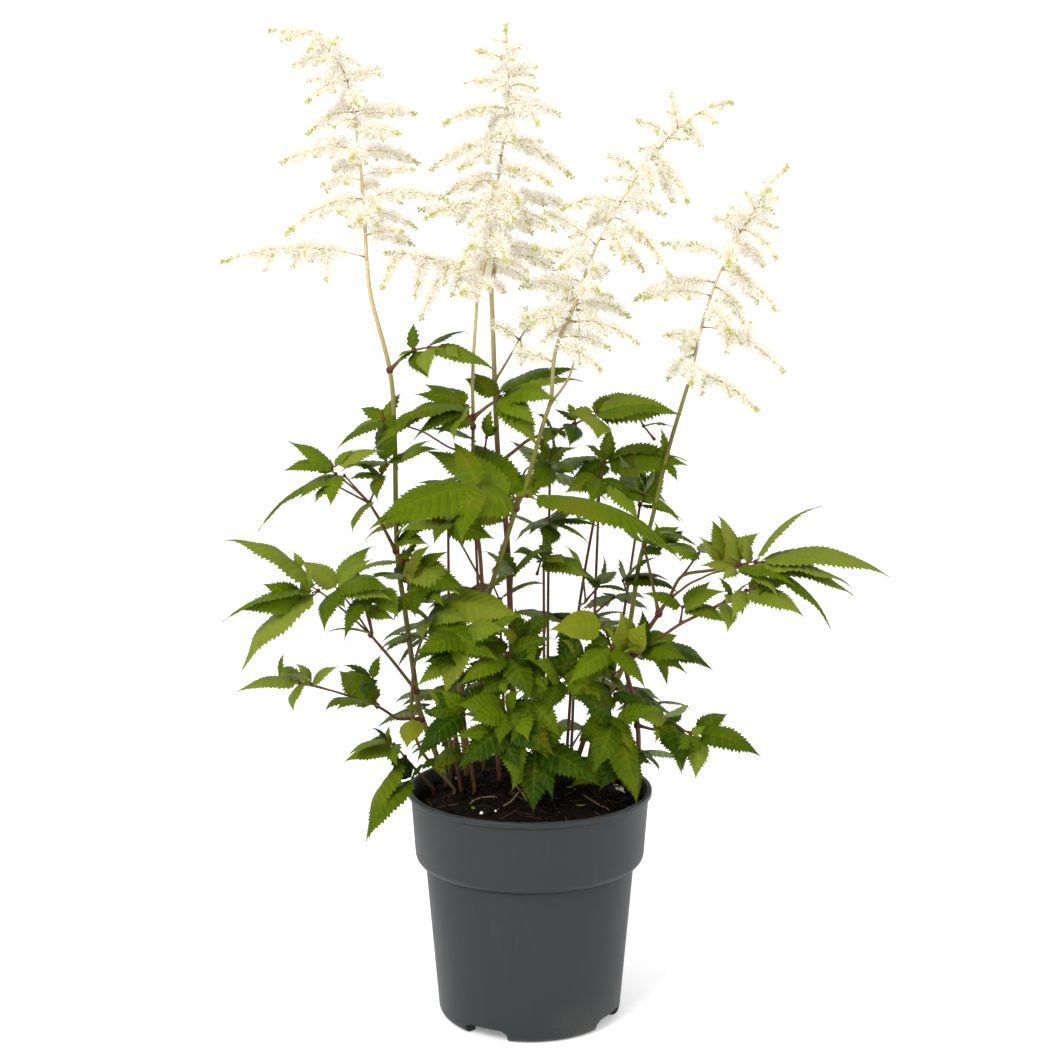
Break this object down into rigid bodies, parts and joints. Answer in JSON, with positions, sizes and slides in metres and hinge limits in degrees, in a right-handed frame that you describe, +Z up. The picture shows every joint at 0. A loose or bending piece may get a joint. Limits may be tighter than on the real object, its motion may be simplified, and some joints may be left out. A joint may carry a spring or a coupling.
{
  "type": "potted astilbe plant",
  "caption": "Flowering astilbe perennial with creamy feathery plumes above toothed compound leaves, in a round grey grower's pot of soil.",
  "frame": {"origin": "on the ground under the middle of the whole plant, which is the bottom centre of its bounding box; the pot's axis stands 14.5 mm to the left of it and 16.6 mm in front", "axes": "+Z up, +X to the right as seen from the front, -Y towards the front"},
  "size_m": [0.435, 0.2292, 0.678],
  "materials": {
    "pot": "dark slate grey moulded plastic, satin, lightly scuffed",
    "soil": "dark brown peaty potting soil with fibres and perlite",
    "stem": "olive green stem, red-brown at the joints",
    "plume": "creamy white florets, yellow-green buds at the tips",
    "leaf": "mid green leaf, slightly glossy, with sunk veins"
  },
  "bodies": {
    "root": {"pot": "pot", "stem_left": "stem", "stem_centre": "stem", "stem_front": "stem", "stem_crossing": "stem", "stem_right": "stem", "stem_leafy": "stem", "soil": "soil", "plume_left": "plume", "plume_centre": "plume", "plume_front": "plume", "plume_crossing": "plume", "plume_right": "plume", "plume_crossing_low": "plume", "plume_centre_low": "plume", "leaf_back": "leaf", "leaf_back_right": "leaf", "leaf_far_right": "leaf", "leaf_rim_left": "leaf", "leaf_pale": "leaf", "leaf_mid_left": "leaf", "leaf_middle": "leaf", "leaf_mid_right": "leaf", "leaf_front_left": "leaf", "leaf_low_left": "leaf", "leaf_front": "leaf", "leaf_front_right": "leaf", "leaf_bush_1": "leaf", "leaf_bush_2": "leaf", "leaf_bush_3": "leaf", "leaf_bush_4": "leaf", "leaf_bush_5": "leaf", "leaf_bush_6": "leaf", "leaf_bush_7": "leaf", "leaf_bush_8": "leaf"}
  },
  "joints": []
}
